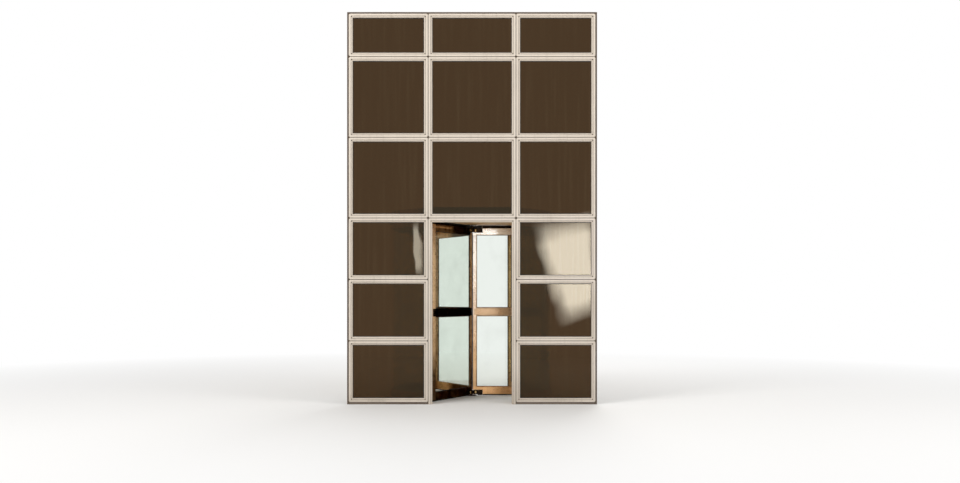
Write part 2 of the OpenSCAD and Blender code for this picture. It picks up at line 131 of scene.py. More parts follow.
def axes(tree, vector):
    """The X, Y and Z of a place, each as a number."""
    return shader_node(tree, "ShaderNodeSeparateXYZ", {0: vector}).outputs


def spread(tree, value, low, high, to_low=0.0, to_high=1.0):
    """A number carried from one range to another, and held inside it."""
    carried = shader_node(
        tree, "ShaderNodeMapRange",
        {"Value": value, "From Min": low, "From Max": high, "To Min": to_low, "To Max": to_high},
    )
    return carried.outputs[0]


def crevice_dirt_and_shade(tree, reach):
    """A mask, 1 deep in corners and grooves for dirt and painted shade, and 0 on open faces."""
    shade = shader_node(tree, "ShaderNodeAmbientOcclusion", {"Distance": reach}, samples=4)
    return spread(tree, shade.outputs["AO"], 0.35, 0.85, 1.0, 0.0)


def new_effect(name, inputs, outputs):
    """An empty effect for several finishes, with its named inputs and outputs."""
    effect = bpy.data.node_groups.new(name, "ShaderNodeTree")
    for label, kind in inputs.items():
        effect.interface.new_socket(label, in_out="INPUT", socket_type="NodeSocket" + kind)
    for label, kind in outputs.items():
        effect.interface.new_socket(label, in_out="OUTPUT", socket_type="NodeSocket" + kind)
    return effect, effect.nodes.new("NodeGroupInput").outputs, effect.nodes.new("NodeGroupOutput").inputs


def new_finish(name, **plain):
    """A material with one shader, its node tree, and the object's own coordinates to lay patterns on."""
    material = bpy.data.materials.new(name)
    material.use_nodes = True
    tree = material.node_tree
    shader = tree.nodes["Principled BSDF"]
    for label, value in plain.items():
        shader.inputs[label.replace("_", " ")].default_value = value
    place = tree.nodes.new("ShaderNodeTexCoord").outputs["Object"]
    return material, tree, shader, place


def feed(tree, shader, colour=None, roughness=None, height=None, depth=0.0002, strength=1.0):
    """Links what varies over the surface: its colour, its roughness, and its relief as a bump."""
    if colour:
        tree.links.new(colour, shader.inputs["Base Color"])
    if roughness:
        tree.links.new(roughness, shader.inputs["Roughness"])
    if height:
        relief = {"Height": height, "Distance": depth, "Strength": strength}
        tree.links.new(shader_node(tree, "ShaderNodeBump", relief).outputs[0], shader.inputs["Normal"])


def finish_nodes(material, *names):
    """Gives CAD nodes their finish, in the material slots that they came with."""
    for name in names:
        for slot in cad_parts[name].material_slots:
            slot.material = material


def fit_piece(name, bm, material, body, smooth=False):
    """Makes a shaped mesh one piece of the door, riding on one of its bodies."""
    bmesh.ops.recalc_face_normals(bm, faces=bm.faces)
    mesh = bpy.data.meshes.new(name)
    bm.to_mesh(mesh)
    bm.free()
    mesh.materials.append(material)
    if smooth:
        mesh.shade_smooth()
        mesh.set_sharp_from_angle(angle=math.radians(40))
    piece = bpy.data.objects.new(name, mesh)
    bpy.context.scene.collection.objects.link(piece)
    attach(piece, body)


# Old paint: a brushed film that dulls in soft clouds, with rain streaks, dirt and painted shade in its
# corners, and splashes at its foot
surface_outputs = {"Color": "Color", "Roughness": "Float", "Height": "Float"}
old_paint, given, result = new_effect(
    "old paint", {"Place": "Vector", "Paint": "Color", "Dirt": "Color", "Age": "Float", "Crevice dirt and shade": "Float"},
    surface_outputs,
)
clouds = noise(old_paint, given["Place"], 2.2, 6.0)
streaks = noise(old_paint, given["Place"], 1.0, 4.0, stretch=(34, 34, 1.3))
brushing = noise(old_paint, given["Place"], 1.0, 2.0, stretch=(420, 420, 22))
speckle = noise(old_paint, given["Place"], 90.0, 4.0)
height_up = axes(old_paint, given["Place"])["Z"]
dirt = arithmetic(
    old_paint, "ADD",
    spread(old_paint, streaks, 0.52, 0.78, 0.0, 0.5), spread(old_paint, clouds, 0.48, 0.75, 0.0, 0.35),
)
splashes = product(
    old_paint, spread(old_paint, height_up, 0.0, 0.55, 0.6, 0.0), spread(old_paint, clouds, 0.35, 0.6)
)
dirt = arithmetic(old_paint, "ADD", dirt, splashes)
dirt = arithmetic(old_paint, "ADD", dirt, spread(old_paint, speckle, 0.62, 0.8, 0.0, 0.25))
dirt = product(old_paint, dirt, given["Age"])
# Dirt and painted shade sit deep in corners and grooves
lodged_dirt_and_shade = product(old_paint, given["Crevice dirt and shade"], spread(old_paint, speckle, 0.3, 0.7, 0.55, 1.0))
dirt = either(old_paint, dirt, lodged_dirt_and_shade)
relief = arithmetic(
    old_paint, "MULTIPLY_ADD", speckle, 0.5, arithmetic(old_paint, "MULTIPLY", brushing, 0.6)
)
old_paint.links.new(colour_mix(old_paint, dirt, given["Paint"], given["Dirt"]), result["Color"])
old_paint.links.new(spread(old_paint, clouds, 0.3, 0.7, 0.36, 0.56), result["Roughness"])
old_paint.links.new(relief, result["Height"])


def painted(name, paint, dirt, age):
    """A paint finish, aged by the effect above."""
    material, tree, shader, place = new_finish(name, Roughness=0.45)
    aged = shader_node(tree, "ShaderNodeGroup", node_tree=old_paint)
    tree.links.new(place, aged.inputs["Place"])
    tree.links.new(crevice_dirt_and_shade(tree, 0.010), aged.inputs["Crevice dirt and shade"])
    aged.inputs["Paint"].default_value = (*paint, 1)
    aged.inputs["Dirt"].default_value = (*dirt, 1)
    aged.inputs["Age"].default_value = age
    feed(tree, shader, aged.outputs["Color"], aged.outputs["Roughness"], aged.outputs["Height"])
    return material, tree, shader, place, aged


# The webs' dark colour is painted shade deep in their grooves, with soot over it, and the boxes behind them
# are painted like the frames
web_paint_in_shade, web_soot_and_shade = (0.13, 0.098, 0.066), (0.05, 0.035, 0.022)
box_paint = (0.60, 0.54, 0.45, 1)
box_front_y, box_blend = front_y + 0.056, 0.0005
grid_paint, tree, shader, place, aged = painted("grid paint", web_paint_in_shade, web_soot_and_shade, 0.8)
behind = spread(tree, axes(tree, place)["Y"], box_front_y - box_blend, box_front_y + box_blend)
feed(tree, shader, colour_mix(tree, behind, aged.outputs["Color"], box_paint))
finish_nodes(grid_paint, "screen_mullions", "screen_transoms")


def stud(bm, x, y, z, radius, height, taper=0.8):
    """A square stud that points forwards from the plane at y, its corners up, down and to both sides."""
    turned = Matrix.Translation((x, y - height / 2, z)) @ Matrix.Rotation(math.pi / 2, 4, "X")
    bmesh.ops.create_cone(
        bm, cap_ends=True, segments=4, radius1=radius, radius2=radius * taper, depth=height, matrix=turned
    )


def trim_off(bm, edge_point, outward):
    """Cuts off what lies beyond a plane, and closes the cut."""
    everything = bm.verts[:] + bm.edges[:] + bm.faces[:]
    cut = bmesh.ops.bisect_plane(
        bm, geom=everything, plane_co=edge_point, plane_no=outward, clear_outer=True
    )
    rim = [part for part in cut["geom_cut"] if isinstance(part, bmesh.types.BMEdge)]
    bmesh.ops.edgeloop_fill(bm, edges=rim)


# A fitted piece reaches this far into what carries it, so that no slit shows between them
bite = 0.0005
plug_r = 0.0155
plug_h = 0.009
# The plugs' very dark brown is partly painted shade of the holes they sit in
plug_brown_and_hole_shade, plug_dust = (0.035, 0.020, 0.008, 1), (0.11, 0.066, 0.028, 1)
plug_rubber, tree, shader, place = new_finish("brown plug rubber", Roughness=0.7)
feed(tree, shader, colour_mix(tree, noise(tree, place, 45.0, 4.0), plug_brown_and_hole_shade, plug_dust))
bm = bmesh.new()
for z in lower_lines[:3] + upper_lines:
    for x in (-edge_x, -door_x, door_x, edge_x):
        stud(bm, x, front_y + joint_d + bite, z, plug_r, plug_h)
for side in (-1, 1):
    trim_off(bm, (side * (edge_x + joint_w / 2), 0, 0), (side, 0, 0))
trim_off(bm, (0, 0, lower_lines[0] - joint_w / 2), (0, 0, -1))
trim_off(bm, (0, 0, top_z + joint_w / 2), (0, 0, 1))
fit_piece("corner_plugs", bm, plug_rubber, "enclosure")

# The light frames
# Each light has its own mitred frame, folded from sheet and painted a warm white, with a loose glazing bead.
# The bead's quirk ends in a gap at each mitre, where the four lengths don't quite meet, and a dark stud in
# each gap is its painted shade.
warm_white, frame_dirt = (0.60, 0.52, 0.425), (0.20, 0.15, 0.10)
frame_paint = painted("warm white paint", warm_white, frame_dirt, 0.40)[0]
finish_nodes(
    frame_paint, "left_lower_frames", "left_upper_frames", "right_lower_frames", "right_upper_frames",
    "centre_frames", "doorway_frame",
)


def bay_lights(bays, lines):
    """The left, right, lower and upper edge of every light in some bays, between level lines."""
    return [(x0, x1, z0, z1) for x0, x1 in bays for z0, z1 in zip(lines, lines[1:])]


side_bays = [(-edge_x, -door_x), (door_x, edge_x)]
middle_bay = (-door_x, door_x)
lights = bay_lights(side_bays, lower_lines) + bay_lights(side_bays + [middle_bay], upper_lines)
quirk_in = 0.035
mitre_in = joint_w / 2 + quirk_in
gap_back_y = front_y + 0.0095
gap_r, gap_h, gap_taper = 0.0072, 0.0075, 0.9

# The studs' near-black colour is painted shade inside the mitre gaps
gap_shade_dark, gap_dust = (0.02, 0.015, 0.01, 1), (0.06, 0.045, 0.03, 1)
mitre_gap_shade, tree, shader, place = new_finish("painted shade of mitre gaps", Roughness=0.8)
feed(tree, shader, colour_mix(tree, noise(tree, place, 60.0), gap_shade_dark, gap_dust))
bm = bmesh.new()
for x0, x1, z0, z1 in lights:
    for x in (x0 + mitre_in, x1 - mitre_in):
        for z in (z0 + mitre_in, z1 - mitre_in):
            stud(bm, x, gap_back_y, z, gap_r, gap_h, gap_taper)
for x in (-door_x + mitre_in, door_x - mitre_in):
    stud(bm, x, gap_back_y, head_z - mitre_in, gap_r, gap_h, gap_taper)
fit_piece("bead_mitre_gaps", bm, mitre_gap_shade, "enclosure")

# The glazing gaskets of the screen
# A black rubber ring lies on both faces of every pane, pushed in between the glass and the frame.
# It shows as the thin dark line round each light.
pane_front_y = front_y + 0.024
pane_t = 0.010
frame_face_w = 0.047
sight_in = joint_w / 2 + frame_face_w
gasket_w, gasket_h = 0.0075, 0.0035

rubber_black, rubber_bloom = (0.012, 0.011, 0.010, 1), (0.05, 0.042, 0.034, 1)
black_rubber, tree, shader, place = new_finish("black rubber", Roughness=0.6)
bloom = noise(tree, place, 40.0, 5.0)
dulled = colour_mix(tree, spread(tree, bloom, 0.45, 0.75), rubber_black, rubber_bloom)
feed(tree, shader, dulled, spread(tree, bloom, 0.3, 0.7, 0.5, 0.75), bloom)


def round_off(bm, edges, offset):
    """Rounds some edges off with two facets."""
    bmesh.ops.bevel(
        bm, geom=edges, offset=offset, segments=2, profile=0.5, affect="EDGES", material=-1,
        clamp_overlap=True,
    )


def flat_ring(bm, x0, x1, z0, z1, y, width, rise):
    """A rectangular ring that lies on the plane at y and rises from it along Y, its raised edges rounded."""
    middle = Vector(((x0 + x1) / 2, y, (z0 + z1) / 2))
    upright = Matrix.Rotation(math.pi / 2, 3, "X")
    sheet = bmesh.ops.create_grid(
        bm, x_segments=1, y_segments=1, size=0.5,
        matrix=Matrix.LocRotScale(middle, upright, Vector((x1 - x0, z1 - z0, 1))),
    )
    inner = sheet["verts"][0].link_faces[0]
    ring = bmesh.ops.inset_region(
        bm, faces=[inner], thickness=width, use_boundary=True, use_even_offset=True
    )["faces"]
    bmesh.ops.delete(bm, geom=[inner], context="FACES")
    raised = bmesh.ops.extrude_face_region(bm, geom=ring)["geom"]
    top = [part for part in raised if isinstance(part, bmesh.types.BMVert)]
    bmesh.ops.translate(bm, verts=top, vec=(0, rise, 0))
    edges = [part for part in raised if isinstance(part, bmesh.types.BMEdge)]
    round_off(bm, [edge for edge in edges if edge.calc_length() > 2 * width], abs(rise) * 0.6)


bm = bmesh.new()
for x0, x1, z0, z1 in lights:
    sight = (x0 + sight_in, x1 - sight_in, z0 + sight_in, z1 - sight_in)
    flat_ring(bm, *sight, pane_front_y, gasket_w, -gasket_h)
    flat_ring(bm, *sight, pane_front_y + pane_t, gasket_w, gasket_h)
fit_piece("screen_gaskets", bm, black_rubber, "enclosure", smooth=True)

# The tinted panes
# Solar glass 10 mm thick, dark bronze-brown right through, so that hardly anything shows behind it.
# It was rolled and toughened, so its surface waves a little, and rain has left faint runs of dust on it.
glass_tint, dusty_tint = (0.028, 0.009, 0.0015, 1), (0.044, 0.022, 0.009, 1)
warm_sheen = (1.0, 0.78, 0.48, 1)
tinted_glass, tree, shader, place = new_finish(
    "tinted glass", Transmission_Weight=1.0, IOR=1.5, Metallic=0.0, Specular_Tint=warm_sheen
)
runs = noise(tree, place, 1.0, 4.0, stretch=(26, 26, 0.9))
waves = noise(tree, place, 1.3, 1.5)
feed(
    tree, shader, colour_mix(tree, spread(tree, runs, 0.5, 0.8), glass_tint, dusty_tint),
    spread(tree, runs, 0.4, 0.8, 0.0, 0.05), waves, 0.006, 0.6,
)
finish_nodes(tinted_glass, "left_panes", "right_panes", "centre_panes")

# The closer and the sills
# A dark brown folded closer edges the screen on both sides and over the top.
# A plain strip of the same finish packs the side bays up from the floor, in the shadow under their frames.
closer_brown, closer_dirt = (0.075, 0.048, 0.030), (0.16, 0.125, 0.09)
closer_paint = painted("dark brown paint", closer_brown, closer_dirt, 0.7)[0]
finish_nodes(closer_paint, "edge_closer", "sills")

# The throat posts
# Four posts of sheet bronze over a core carry the drum, two against the screen and two at the inner throat.
# They are rubbed down along their length, lacquered, and browner where the lacquer has worn.

# Aged bronze: brown patches and spots, darker corners from tarnish and painted shade, a shine that hands
# have changed, and a fine grain
aged_bronze, given, result = new_effect(
    "aged bronze",
    {"Place": "Vector", "Grain": "Float", "Bronze": "Color", "Tarnish": "Color", "Age": "Float",
     "Crevice dirt and shade": "Float"},
    surface_outputs,
)
patches = noise(aged_bronze, given["Place"], 3.5, 7.0)
spots = noise(aged_bronze, given["Place"], 38.0, 4.0)
hands = noise(aged_bronze, given["Place"], 9.0, 5.0)
brown = arithmetic(
    aged_bronze, "ADD",
    spread(aged_bronze, patches, 0.42, 0.68, 0.0, 0.8), spread(aged_bronze, spots, 0.58, 0.78, 0.0, 0.5),
)
brown = arithmetic(aged_bronze, "ADD", brown, spread(aged_bronze, given["Grain"], 0.45, 0.8, 0.0, 0.3))
brown = product(aged_bronze, brown, given["Age"])
# Corners and grooves are darker with tarnish and painted shade
brown = either(aged_bronze, brown, product(aged_bronze, given["Crevice dirt and shade"], 0.9))
rubbed = arithmetic(
    aged_bronze, "ADD",
    spread(aged_bronze, hands, 0.3, 0.7, 0.18, 0.32),
    spread(aged_bronze, given["Grain"], 0.3, 0.7, 0.0, 0.10),
)
aged_bronze.links.new(colour_mix(aged_bronze, brown, given["Bronze"], given["Tarnish"]), result["Color"])
aged_bronze.links.new(rubbed, result["Roughness"])
aged_bronze.links.new(given["Grain"], result["Height"])

bronze_colour, tarnish_colour = (0.60, 0.36, 0.175), (0.22, 0.10, 0.038)
grain_along = {"X": (5, 460, 460), "Z": (460, 460, 5), "level": (5, 5, 460)}


def bronze_grain(tree, place, along):
    """The fine scratches of bronze that is rubbed along one axis."""
    return noise(tree, place, 1.0, 3.0, grain_along[along])


def bronze_finish(name, bronze=bronze_colour, age=0.55, along="Z", turn=0.0):
    """Bronze rubbed along one axis of the piece, after the piece's own turn about the shaft."""
    material, tree, shader, place = new_finish(name, Metallic=1.0)
    turned = shader_node(tree, "ShaderNodeMapping", {"Vector": place, "Rotation": (0, 0, -turn)}).outputs[0]
    aged = shader_node(tree, "ShaderNodeGroup", node_tree=aged_bronze)
    tree.links.new(turned, aged.inputs["Place"])
    tree.links.new(bronze_grain(tree, turned, along), aged.inputs["Grain"])
    tree.links.new(crevice_dirt_and_shade(tree, 0.008), aged.inputs["Crevice dirt and shade"])
    aged.inputs["Bronze"].default_value = (*bronze, 1)
    aged.inputs["Tarnish"].default_value = (*tarnish_colour, 1)
    aged.inputs["Age"].default_value = age
    feed(tree, shader, aged.outputs["Color"], aged.outputs["Roughness"], aged.outputs["Height"], 0.00012, 0.5)
    return material, tree, shader, turned, aged


upright_bronze = bronze_finish("upright bronze")[0]
finish_nodes(upright_bronze, "front_left_post", "front_right_post", "rear_left_post", "rear_right_post")

screw_bright, screw_brown = (0.42, 0.24, 0.10, 1), (0.16, 0.08, 0.035, 1)
screw_metal, tree, shader, place = new_finish("worn screw bronze", Metallic=1.0)
wear = noise(tree, place, 220.0, 3.0)
feed(tree, shader, colour_mix(tree, wear, screw_bright, screw_brown), spread(tree, wear, 0.3, 0.7, 0.25, 0.5))


def screw(bm, place, outward, radius, height=0.0014):
    """A screw head seated at a place and facing outward, its rim rounded off and a socket sunk in its top."""
    outward = Vector(outward).normalized()
    turn = outward.to_track_quat("Z", "Y").to_matrix().to_4x4()
    seat = Matrix.Translation(Vector(place) + outward * height / 2) @ turn
    made = bmesh.ops.create_cone(
        bm, cap_ends=True, segments=10, radius1=radius, radius2=radius * 0.8, depth=height, matrix=seat
    )["verts"]
    faces = {face for vert in made for face in vert.link_faces}
    top = max(faces, key=lambda face: face.calc_center_median().dot(outward))
    bmesh.ops.inset_individual(bm, faces=[top], thickness=radius * 0.4, depth=-height * 0.6)


def spaced(start, end, pitch):
    """Places between two ends, as near a pitch as comes out even, with half a gap left at each end."""
    count = max(1, round((end - start) / pitch))
    gap = (end - start) / count
    return [start + gap * (i + 0.5) for i in range(count)]


throat_half = 0.525
front_screw_y = -0.995
rear_screw_x, rear_post_back_y = throat_half + 0.030, 0.935
post_low_z, post_high_z = 0.05, 2.27
post_screw_r, post_screw_pitch = 0.004, 0.44
bm = bmesh.new()
for side in (-1, 1):
    for z in spaced(post_low_z, post_high_z, post_screw_pitch):
        screw(bm, (side * throat_half, front_screw_y, z), (-side, 0, 0), post_screw_r)
        screw(bm, (side * rear_screw_x, rear_post_back_y, z), (0, 1, 0), post_screw_r)
fit_piece("post_screws", bm, screw_metal, "enclosure", smooth=True)

# The finger guards
# A black rubber strip is let into the inner corner of each post, so that a hand caught by a wing isn't hurt.
# It is ribbed along its length and dusty in the grooves.
groove_dust = (0.045, 0.038, 0.030, 1)
guard_rubber, tree, shader, place = new_finish("ribbed rubber", Roughness=0.65)
ribs = shader_node(
    tree, "ShaderNodeTexWave", {"Vector": place, "Scale": 80.0, "Distortion": 0.0},
    wave_type="BANDS", bands_direction="X",
).outputs["Fac"]
feed(tree, shader, colour_mix(tree, ribs, groove_dust, rubber_black), None, ribs, 0.0008)
finish_nodes(guard_rubber, "finger_guards")

# The curved rails of the drum
# Rolled bronze channels at the foot and the head, each bent to the drum's circle and screwed to the posts.
# Their lengths butt together in fine dark joints, and are rubbed round the curve, so the grain runs level.
rail_out_r = 1.090
rail_lengths = 12
butt_dark, butt_edge = (0.02, 0.011, 0.005, 1), (0.0007, 0.0014)
rail_half_angle, rail_screw_step = 0.95, 0.38
rail_screw_heights, rail_screw_r = (0.042, 2.283), 0.0045


def distance(tree, value, middle):
    """How far a number is from a middle one."""
    return arithmetic(tree, "ABSOLUTE", arithmetic(tree, "SUBTRACT", value, middle))


def around_shaft(radius, angle, z=0.0):
    """A place on a circle round the shaft."""
    return Vector((radius * math.cos(angle), radius * math.sin(angle), z))


level_bronze, tree, shader, place, aged = bronze_finish("level bronze", along="level")
across = axes(tree, place)
angle = arithmetic(tree, "ARCTAN2", across["Y"], across["X"])
lengths = arithmetic(
    tree, "FRACT", arithmetic(tree, "MULTIPLY_ADD", angle, rail_lengths / (2 * math.pi), 0.5)
)
butt_joint = spread(tree, distance(tree, lengths, 0.5), *butt_edge, 1.0, 0.0)
feed(tree, shader, colour_mix(tree, butt_joint, aged.outputs["Color"], butt_dark))
finish_nodes(
    level_bronze, "left_base_rail", "right_base_rail", "left_head_rail", "right_head_rail", "canopy_fascia"
)

bm = bmesh.new()
for facing in (0, math.pi):
    for offset in spaced(-rail_half_angle, rail_half_angle, rail_screw_step):
        for z in rail_screw_heights:
            seat = around_shaft(rail_out_r, facing + offset, z)
            screw(bm, seat, around_shaft(1, facing + offset), rail_screw_r)
fit_piece("rail_screws", bm, screw_metal, "enclosure", smooth=True)

# The drum glass
# One sheet of curved clear glass a side, 10 mm thick, let into the rails. A black seal runs along both
# rails on each face, and a dry strip closes the upright joint to each post.
rail_low, rail_high = 0.118, 2.240
pane_in_r, pane_out_r = 1.053, 1.063
drum_in_r, wall_end_x = 1.050, 0.573
wall_half_angle, wall_steps = math.acos(wall_end_x / drum_in_r), 48
seal_h, seal_w = 0.005, 0.0028
post_seal_angle = 0.0115

clear_tint, smeared_tint = (0.83, 0.875, 0.83, 1), (0.76, 0.80, 0.755, 1)
clear_glass, tree, shader, place = new_finish("clear glass", Transmission_Weight=1.0, IOR=1.5, Metallic=0.0)
smears = noise(tree, place, 3.0, 6.0)
feed(
    tree, shader, colour_mix(tree, spread(tree, smears, 0.5, 0.8), clear_tint, smeared_tint),
    spread(tree, smears, 0.5, 0.8, 0.0, 0.04), noise(tree, place, 2.0, 1.0), 0.002, 0.4,
)
finish_nodes(clear_glass, "left_drum_glass", "right_drum_glass")


def curved_strip(bm, r0, r1, z0, z1, start, sweep, steps):
    """A bar of rectangular section bent round the shaft, from one angle through another."""
    corners = [(r0, z0), (r1, z0), (r1, z1), (r0, z1)]
    section = [bm.verts.new(around_shaft(r, start, z)) for r, z in corners]
    first = bm.faces.new(section)
    bmesh.ops.spin(
        bm, geom=[first, *first.edges, *section], cent=(0, 0, 0), axis=(0, 0, 1), dvec=(0, 0, 0),
        angle=sweep, steps=steps, use_duplicate=False,
    )


bm = bmesh.new()
for facing in (0, math.pi):
    start, sweep = facing - wall_half_angle, 2 * wall_half_angle
    for r0, r1 in ((pane_in_r - seal_w, pane_in_r), (pane_out_r, pane_out_r + seal_w)):
        curved_strip(bm, r0, r1, rail_low, rail_low + seal_h, start, sweep, wall_steps)
        curved_strip(bm, r0, r1, rail_high - seal_h, rail_high, start, sweep, wall_steps)
        for at_post in (start, start + sweep - post_seal_angle):
            curved_strip(bm, r0, r1, rail_low + seal_h, rail_high - seal_h, at_post, post_seal_angle, 1)
fit_piece("drum_seals", bm, black_rubber, "enclosure")

# The ceiling
# A flat panel of sheet metal, painted tan, closes the drum over the wings.
# It hangs from the canopy's frame, and none of its fixings show from below.
ceiling_tan, ceiling_dirt = (0.80, 0.47, 0.20), (0.42, 0.24, 0.11)
ceiling_paint = painted("tan ceiling paint", ceiling_tan, ceiling_dirt, 0.5)[0]
finish_nodes(ceiling_paint, "ceiling_disc")

# The canopy cover
# Sheets of dark painted metal close the canopy from above.
# They are joined by folded seams that run from front to back, and lie under years of dust.
cover_top_z, cover_r, cover_front_y = 2.470, 1.09, -1.04
cover_straight_x = 0.58
seam_places = (-0.75, -0.45, -0.15, 0.15, 0.45, 0.75)
seam_w, seam_h, seam_edge = 0.006, 0.012, 0.0015
cover_dark, roof_dust = (0.055, 0.046, 0.037), (0.24, 0.21, 0.17)
cover_paint = painted("dusty dark paint", cover_dark, roof_dust, 1.0)[0]
finish_nodes(cover_paint, "canopy_cover")


def block(bm, low, high, edge):
    """A bar between two corners, with its edges rounded."""
    low, high = Vector(low), Vector(high)
    place = Matrix.LocRotScale((low + high) / 2, None, high - low)
    made = bmesh.ops.create_cube(bm, size=1.0, matrix=place)
    round_off(bm, list({rim for vert in made["verts"] for rim in vert.link_edges}), edge)


bm = bmesh.new()
for x in seam_places:
    reach = math.sqrt(cover_r ** 2 - x ** 2)
    front = max(cover_front_y, -reach) if abs(x) > cover_straight_x else cover_front_y
    low_corner = (x - seam_w / 2, front, cover_top_z)
    block(bm, low_corner, (x + seam_w / 2, reach, cover_top_z + seam_h), seam_edge)
fit_piece("canopy_seams", bm, cover_paint, "enclosure")

# The shaft, its hubs and its bearings
# A blackened steel tie shaft runs from a pivot in the floor to a bearing over the ceiling, through two dark
# cast hubs. The hubs are oiled and rubbed to a dull shine, and their pins turn in split brass sleeves.
cast_black, cast_brown = (0.010, 0.006, 0.0035, 1), (0.045, 0.026, 0.013, 1)
dark_metal, tree, shader, place = new_finish(
    "dark cast metal", Metallic=1.0, Specular_Tint=(0.45, 0.36, 0.28, 1)
)
casting = noise(tree, place, 55.0, 5.0)
feed(
    tree, shader, colour_mix(tree, spread(tree, casting, 0.4, 0.75), cast_black, cast_brown),
    spread(tree, casting, 0.3, 0.7, 0.16, 0.34), casting, 0.0002, 0.4,
)
finish_nodes(dark_metal, "hanger_hub", "bottom_hub", "floor_pivot", "ceiling_flange")

steel_black, steel_brown = (0.022, 0.014, 0.009, 1), (0.060, 0.038, 0.023, 1)
black_steel, tree, shader, place = new_finish(
    "blackened steel", Metallic=1.0, Specular_Tint=(0.35, 0.26, 0.19, 1)
)
turning = noise(tree, place, 1.0, 2.0, (4, 4, 900))
feed(
    tree, shader, colour_mix(tree, turning, steel_black, steel_brown),
    spread(tree, turning, 0.3, 0.7, 0.26, 0.4), turning, 0.0001, 0.4,
)
finish_nodes(black_steel, "centre_shaft", "top_bearing")

brass_bright, brass_brown = (0.86, 0.62, 0.28, 1), (0.62, 0.40, 0.15, 1)
polished_brass, tree, shader, place = new_finish("polished brass", Metallic=1.0)
rubbing = noise(tree, place, 120.0, 4.0)
feed(
    tree, shader, colour_mix(tree, rubbing, brass_bright, brass_brown),
    spread(tree, rubbing, 0.3, 0.7, 0.10, 0.24), rubbing, 0.00008, 0.5,
)
finish_nodes(polished_brass, "pin_sleeves")

plate_z, flange_z = 0.012, 2.312
plate_circle_r, plate_screw_r = 0.047, 0.005
flange_circle_r = 0.048
cap_screw_r, cap_screw_h = 0.0045, 0.002
bm = bmesh.new()
for degrees in range(45, 360, 90):
    seat = around_shaft(plate_circle_r, math.radians(degrees), plate_z)
    screw(bm, seat, (0, 0, 1), plate_screw_r)
for degrees in range(0, 360, 60):
    seat = around_shaft(flange_circle_r, math.radians(degrees), flange_z)
    screw(bm, seat, (0, 0, -1), cap_screw_r, cap_screw_h)
fit_piece("bearing_screws", bm, screw_metal, "enclosure", smooth=True)

hub_r, screw_sunk = 0.036, 0.0004
hub_screw_heights = (0.029, 0.069, 2.225, 2.281)
bm = bmesh.new()
for degrees in range(60, 360, 120):
    between_wings = math.radians(degrees)
    for z in hub_screw_heights:
        seat = around_shaft(hub_r - screw_sunk, between_wings, z)
        screw(bm, seat, around_shaft(1, between_wings), cap_screw_r, cap_screw_h)
fit_piece("hub_screws", bm, screw_metal, "rotor", smooth=True)

# The wings
# Three glazed bronze wings hang on the hubs, their stiles rubbed upright and their rails level. The pushed
# face is painted paler higher up and palest on its top rail, as a painted reflection. The other face has a
# painted golden glow of light on its rails, but painted shade makes it black near the hubs, on the beads
# beside the push rail, and on the front wing's foot, its lower stiles and most of its top rail.
wing_turns = {"front": math.radians(240), "right": 0.0, "rear": math.radians(120)}
glass_in_r, glass_out_r = 0.062, 0.958
glass_low_z, glass_top_z = 0.118, 2.188
push_low_z, push_top_z = 1.0905, 1.1895
bead_w = 0.008

foot_bronze, pale_bronze = (0.76, 0.42, 0.18, 1), (0.76, 0.49, 0.29, 1)
# Painted reflection for the pushed face, a painted glow for the rails, and black for painted shade
painted_reflection_bronze, palest_painted_reflection = (0.76, 0.64, 0.50, 1), (1.0, 0.86, 0.67, 1)
painted_glow_bronze, wing_shade_black = (1.0, 0.54, 0.22, 1), (0.016, 0.009, 0.005, 1)
wing_edge_tint = (0.40, 0.28, 0.18, 1)
# How strongly each wing's other face is painted black as shade
blackened = {"front": 1.0, "right": 0.0, "rear": 0.0}
shade_reach = {"front": (0.50, 0.68), "right": (0.36, 0.62), "rear": (0.48, 0.68)}
pushed_y, unpushed_y, bead_y = (-0.010, -0.016), (0.006, 0.009), (0.004, 0.007)
no_reflection_below_z, painted_reflection_above_z = 0.5, 1.9
unshaded_above_z, blackest_shade_below_z = 0.70, 0.34
highlight_streak_z, highlight_streak_edge = 2.240, (0.008, 0.012)
shade_in_highlight_streak, darkest_shade_or_joint = 0.45, 0.85
hairline, finish_edge, joint_edge = 0.0002, 0.001, (0.0003, 0.0008)


